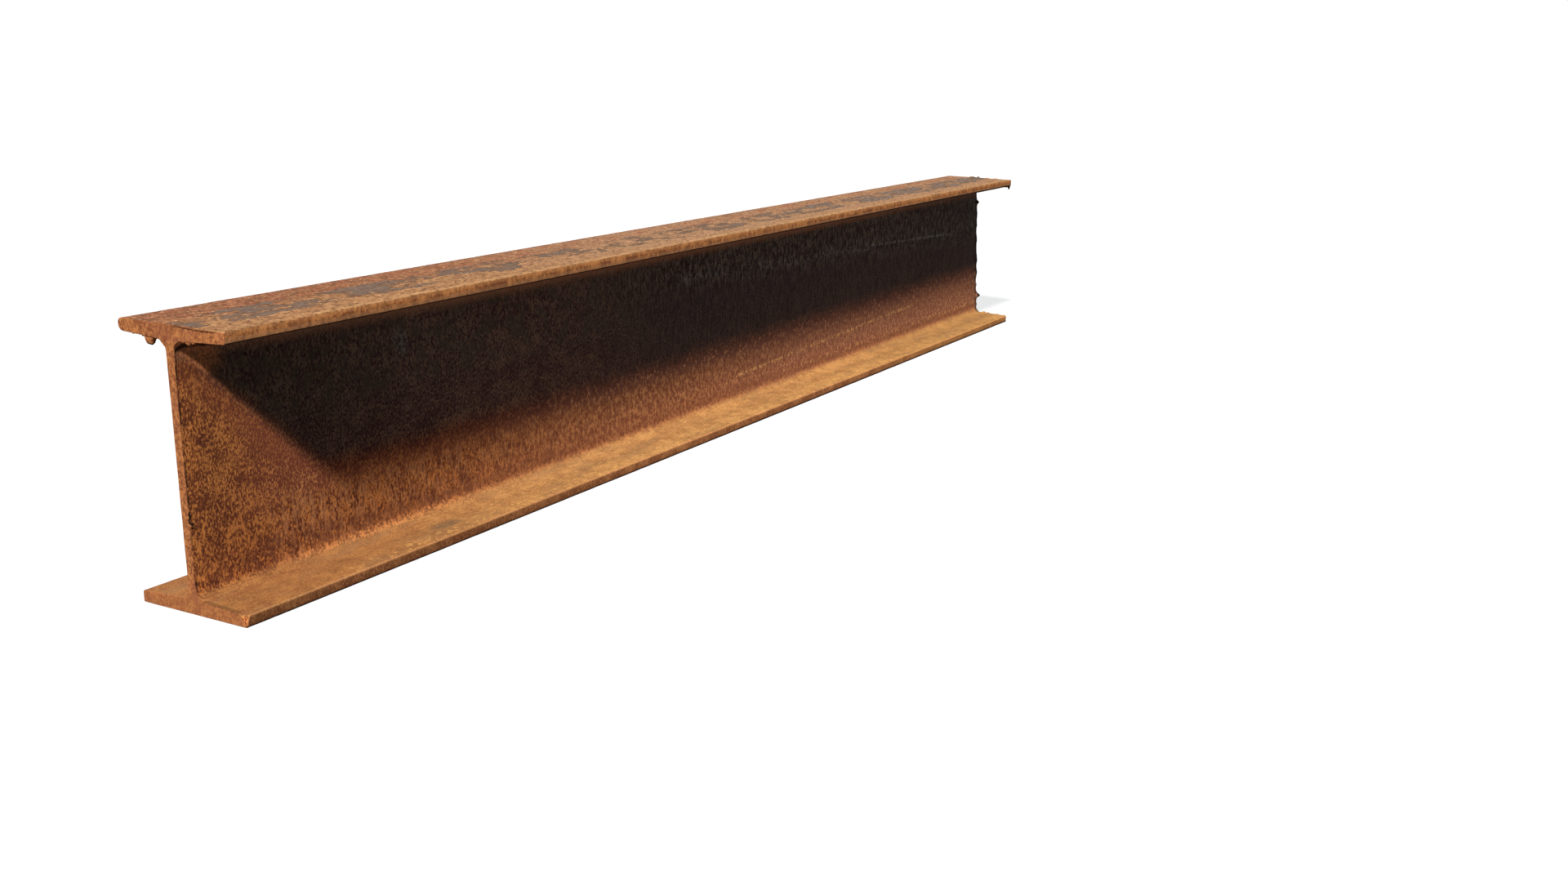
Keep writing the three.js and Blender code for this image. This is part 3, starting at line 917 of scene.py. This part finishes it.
# The bottom flange's upper face, where the wet lay and the rust turned golden
on_foot = (Z + 3 * (blotches - 0.5)).rise(18, 12) * Z.rise(6.5, 8.0)
streaks = clouds(2.0, 3, 0.62, stretch=(3.5, 1, 1), shift=5)
stains = clouds(16, 3, 0.6, stretch=(3.5, 1, 1), shift=91)
grit = 0.2 * streaks + 0.25 * clusters + 0.55 * speckle
neat_foot = tint((0.45, 0.19, 0.058), (0.25, 0.094, 0.034), grit.rise(0.43, 0.58))
ragged_foot = tint((0.67, 0.335, 0.11), (0.39, 0.175, 0.06), grit.rise(0.43, 0.57))
wet_line = Y.rise(-33, -28) * Y.rise(-20, -25) * streaks.rise(0.4, 0.56)
yellowed = (1 - flecks).rise(0.53, 0.64) * Y.rise(-33, -40) * X.rise(-640, -560)
smudge = stroke(X, Y, 9, [(-484, -30), (-466, -31)]) * mottle.rise(0.38, 0.52)
foot_skin = layered(
    neat_foot,
    ragged_end=(ragged_foot, X.rise(-640, -260)),
    wet_line=((0.25, 0.11, 0.04), wet_line * 0.4),
    dulled=((0.34, 0.19, 0.065), X.rise(200, 500) * 0.3),
    stains=((0.30, 0.15, 0.065), stains.rise(0.50, 0.66) * 0.45),
    yellowed=((0.88, 0.47, 0.13), yellowed * 0.5),
    smudge=((0.12, 0.08, 0.05), smudge * 0.6),
)
skin = layered(skin, foot=(foot_skin, on_foot))

# The toes' edges, with painted highlights along their upper rims and painted shade low on the
# foot's
on_edge = abs(Y).rise(48.7, 49.4)
rubbed = 0.55 * mottle + 0.25 * clusters + 0.2 * drips
rubbed_low = 0.5 * speckle + 0.25 * clusters + 0.25 * drips
low_edge = tint((0.79, 0.315, 0.115), (0.36, 0.12, 0.043), rubbed_low.rise(0.42, 0.56))
edge_skin = layered(
    (0.85, 0.32, 0.098),
    rubbed=((0.31, 0.094, 0.034), rubbed.rise(0.43, 0.56)),
    bottom_flange=(low_edge, Z.rise(60, 50)),
    # Painted highlight: the top toes' upper rim, lightened where it faces the light from above
    bright_heel=((0.95, 0.44, 0.17), Z.rise(196.2, 198.2) * 0.3),
)
# The foot's toe edges are darker by the neat end
damp = bottom_flange * (1 - to_ragged) * (0.28 + 0.16 * X.rise(-600, -670))
edge_skin = layered(
    edge_skin * (1 - damp),
    # Painted shade: the foot toes darken towards the floor, where their rounded foot is in shade
    dirty_heel=((0.24, 0.06, 0.016), Z.rise(3.0, 1.4) * 0.4),
    # Painted highlight: the foot toes' upper rim, lightened to look lit from above
    bright_toe=((1.0, 0.50, 0.19), Z.rise(6.6, 7.8) * bottom_flange * 0.28),
    golden=((0.85, 0.40, 0.11), bottom_flange * X.rise(100, 500) * 0.3),
    pale_toe=((0.62, 0.31, 0.15), Z.rise(189, 190) * Z.rise(196.5, 194) * 0.45),
    chips=((0.92, 0.52, 0.24), (1 - rubbed).rise(0.60, 0.66) * 0.7),
)
# Painted shade: a thin dark line under the top flange's toes; painted shadow: one along the foot's
# lower edge on the floor
high_gap = (Z - 1.1 * X.rise(-600, 700)).rise(192.5, 191.9) * Z.rise(187, 189)
high_gap = high_gap * abs(Y).rise(43, 45) * X.rise(684, 680)
low_gap = (Z - 0.8 * X.rise(-600, 700)).rise(1.6, 1.0) * abs(Y).rise(46, 48) * 0.9
skin = layered(
    skin,
    toes=(edge_skin, on_edge * (1 - Z.rise(199.4, 199.7))),
    grime_under_toes=((0.012, 0.006, 0.004), (high_gap + low_gap).clip() * 0.95),
)

# Painted light: a bright speckled line where the web meets the foot, standing in for light that
# the foot throws back
fresh = Z.rise(12, 14.5) * Z.rise(22, 17) * (1 - abs(Y).rise(10, 13)) * X.rise(-628, -585)
fresh = fresh * (1 - 0.65 * X.rise(-470, -380)) * mottle.rise(0.53, 0.44)
skin = layered(skin, fresh_line=((0.88, 0.34, 0.105), fresh * 0.8))

# The cut faces, and the black in their cracks and nicks, which is partly oxidised iron and partly
# painted shade; also painted shadows under the top flange's drips and down the web's edge beside
# its burr
on_neat_cut = X.rise(neat_mm + 0.9, neat_mm + 0.5)
on_drips = X.rise(neat_mm + 7, neat_mm + 5) * Z.rise(180, 182) * (1 - Z.rise(189, 191))
on_drips = on_drips * Y.rise(9, 11)
cut_skin = layered(
    (0.49, 0.185, 0.059),
    scabs=((0.21, 0.066, 0.027), (speckle * 0.35 + mottle * 0.65).rise(0.42, 0.57)),
    red_clusters=((0.26, 0.08, 0.042), clusters.rise(0.5, 0.6) * 0.4),
    bottom_flange=((0.36, 0.13, 0.046), Z.rise(20, 12) * 0.4),
)
at_end = X.rise(neat_mm + 5, neat_mm + 3)
round_corner = Y - 1.24 * (X - neat_mm)
torn = stroke(round_corner, Z, 1.15, [
    (-3.9, 73), (-3.2, 71), (-4.8, 69.7), (-2.9, 67.6), (-3.5, 65.6), (-5.8, 64.4), (-9, 64)])
lip = stroke(Y, Z, 0.6, [(-5, 199.7), (-9, 199), (-20, 198.8), (-34, 198.7), (-41, 198.6)])
seam = stroke(Y, Z, 0.4, [(-10.5, 10.7), (-20, 10.1), (-34, 9.5), (-42, 8.9), (-47, 5.5)])
# Painted shade: a dark streak under the top flange's drips at the neat end, where their shadow
# falls
soot = stroke(X, Z, 2.8, [
    (neat_mm, 182.2), (neat_mm + 7, 185.6), (neat_mm + 24, 184.2), (neat_mm + 40, 182)])
soot = soot * X.rise(neat_mm + 0.6, neat_mm + 1.2)
soot = soot * (1 - X.rise(neat_mm + 22, neat_mm + 40) * 0.6)
# Painted shadow: a dark line down the web's edge, beside the burr at the neat cut
web_corner = stroke(Y, Z, 0.55, [
    (-1.9, 179), (-2.5, 125), (-3.65, 22), (-5.4, 14.6), (-10, 10.8)])
web_corner = web_corner * X.rise(neat_mm + 1.6, neat_mm + 1.0)
web_corner = web_corner * (0.3 + 0.7 * clusters.rise(0.45, 0.55))
oxide = (at_end * (torn + lip * 0.6 + seam * 0.4) + web_corner * 0.85 + soot * 0.9).clip()

# The burnt edge and the slag of the ragged cut
burnt = (X - 691 + 0.0635 * Z).rise(-8, -4) * on_web * (0.4 + 0.6 * mottle.rise(0.42, 0.52))
frozen = Y.rise(-5.6, -7) * Z.rise(28, 31) * Z.rise(178, 175) * X.rise(640, 660)
frozen = frozen * (1 - 0.6 * Z.rise(60, 45))
skin = layered(
    skin,
    neat_cut=(cut_skin, (on_neat_cut + on_drips).clip()),
    oxide=((0.015, 0.008, 0.006), oxide),
    ragged_cut=((0.035, 0.022, 0.016), (burnt * 0.8 + frozen * 0.8).clip()),
)
skin = skin * (0.66 + 0.68 * grain)

relief = 0.3 + 0.9 * Z.rise(199.62, 199.72) + 0.5 * X.rise(neat_mm + 0.5, neat_mm + 0.4)
height = (0.35 * grain + 0.6 * speckle + 0.8 * blotches + 0.5 * scale_left * on_top) * relief
bump = rust.node("ShaderNodeBump", {"Strength": 1.0, "Distance": 0.3 * mm, "Height": height})
rust.end("ShaderNodeOutputMaterial", rust.node("ShaderNodeBsdfPrincipled", {
    "Base Color": skin, "Roughness": 0.92 - 0.25 * scale_left * on_top, "Metallic": 0.0,
    "Normal": bump, "Specular IOR Level": 0.06,
}))

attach(beam, "root")
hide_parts("i_beam")


# ---- The floor, the light and the camera -------------------------------------------------
# A plain pale floor that keeps the beam's shadow, a soft-edged key light from over the neat end,
# a weaker light from behind for the far side, a small lamp low by the neat end, and a little light
# from all round. The camera stands to the right of the neat end, a little above the beam.

floor_reach = 60
floor_drop = 0.05 * mm
sides = ((-1, -1), (1, -1), (1, 1), (-1, 1))
floor = new_piece(
    "floor", [(x * floor_reach, y * floor_reach, -floor_drop) for x, y in sides], [(0, 1, 2, 3)])


def seen(net):
    """Whether a ray comes from the camera, straight, off a mirror or through glass."""
    kinds = ("Is Camera Ray", "Is Glossy Ray", "Is Transmission Ray")
    straight, mirrored, through = (net.node("ShaderNodeLightPath", out=kind) for kind in kinds)
    return (straight + mirrored + through).clip()


pale = bpy.data.materials.new("pale_floor")
paint = painted(pale)
lit = paint.node("ShaderNodeBsdfDiffuse", {"Color": (0.28, 0.28, 0.28)})
glow = paint.node("ShaderNodeEmission", {"Color": (0.75, 0.75, 0.75), "Strength": 1.0})
both = paint.node("ShaderNodeAddShader", {0: lit, 1: glow})
dull = paint.node("ShaderNodeBsdfDiffuse", {"Color": (0.08, 0.09, 0.10)})
cover = paint.node("ShaderNodeMixShader", {0: seen(paint), 1: dull, 2: both})
paint.end("ShaderNodeOutputMaterial", cover)
floor.data.materials.append(pale)

world = bpy.data.worlds.new("studio")
bpy.context.scene.world = world
sky = painted(world)
fill = sky.node("ShaderNodeBackground", {"Color": (0.75, 0.88, 1.0), "Strength": 0.095})
white = sky.node("ShaderNodeBackground", {"Color": (1, 1, 1), "Strength": 1.0})
cover = sky.node("ShaderNodeMixShader", {0: seen(sky), 1: fill, 2: white})
sky.end("ShaderNodeOutputWorld", cover)


def sun(name, direction, strength, spread):
    """A lamp far off. Its spread, in degrees, softens the shadows' edges."""
    lamp = bpy.data.objects.new(name, bpy.data.lights.new(name, "SUN"))
    lamp.data.energy = strength
    lamp.data.angle = math.radians(spread)
    lamp.rotation_euler = Vector(direction).to_track_quat("-Z", "Y").to_euler()
    bpy.context.scene.collection.objects.link(lamp)


sun("key", direction=(0.700, 0.223, -0.678), strength=4.8, spread=4.8)
sun("from_behind", direction=(-0.45, -0.8, -0.5), strength=0.9, spread=40)

foot_lamp = bpy.data.objects.new("low", bpy.data.lights.new("low", "AREA"))
foot_lamp.data.energy = 0.012
foot_lamp.data.size = 0.12
foot_lamp.location = (-0.80, -0.11, 0.04)
lit_place = Vector((-0.68, 0, 0.17))
foot_lamp.rotation_euler = (lit_place - foot_lamp.location).to_track_quat("-Z", "Y").to_euler()
bpy.context.scene.collection.objects.link(foot_lamp)

camera = bpy.data.objects.new("camera", bpy.data.cameras.new("camera"))
camera.data.sensor_width = 36
camera.data.lens = 35.695
camera.data.clip_start = 0.01
eye = Vector((-1.37393, -0.82785, 0.38345))
sideways = Vector((0.484841, -0.874505, 0.013027))
upright = Vector((0.212282, 0.132116, 0.968236))
backwards = sideways.cross(upright)
turned = Matrix((sideways, upright, backwards)).transposed().to_4x4()
camera.matrix_world = Matrix.Translation(eye) @ turned
bpy.context.scene.collection.objects.link(camera)
bpy.context.scene.camera = camera
bpy.context.scene.view_settings.view_transform = "Standard"
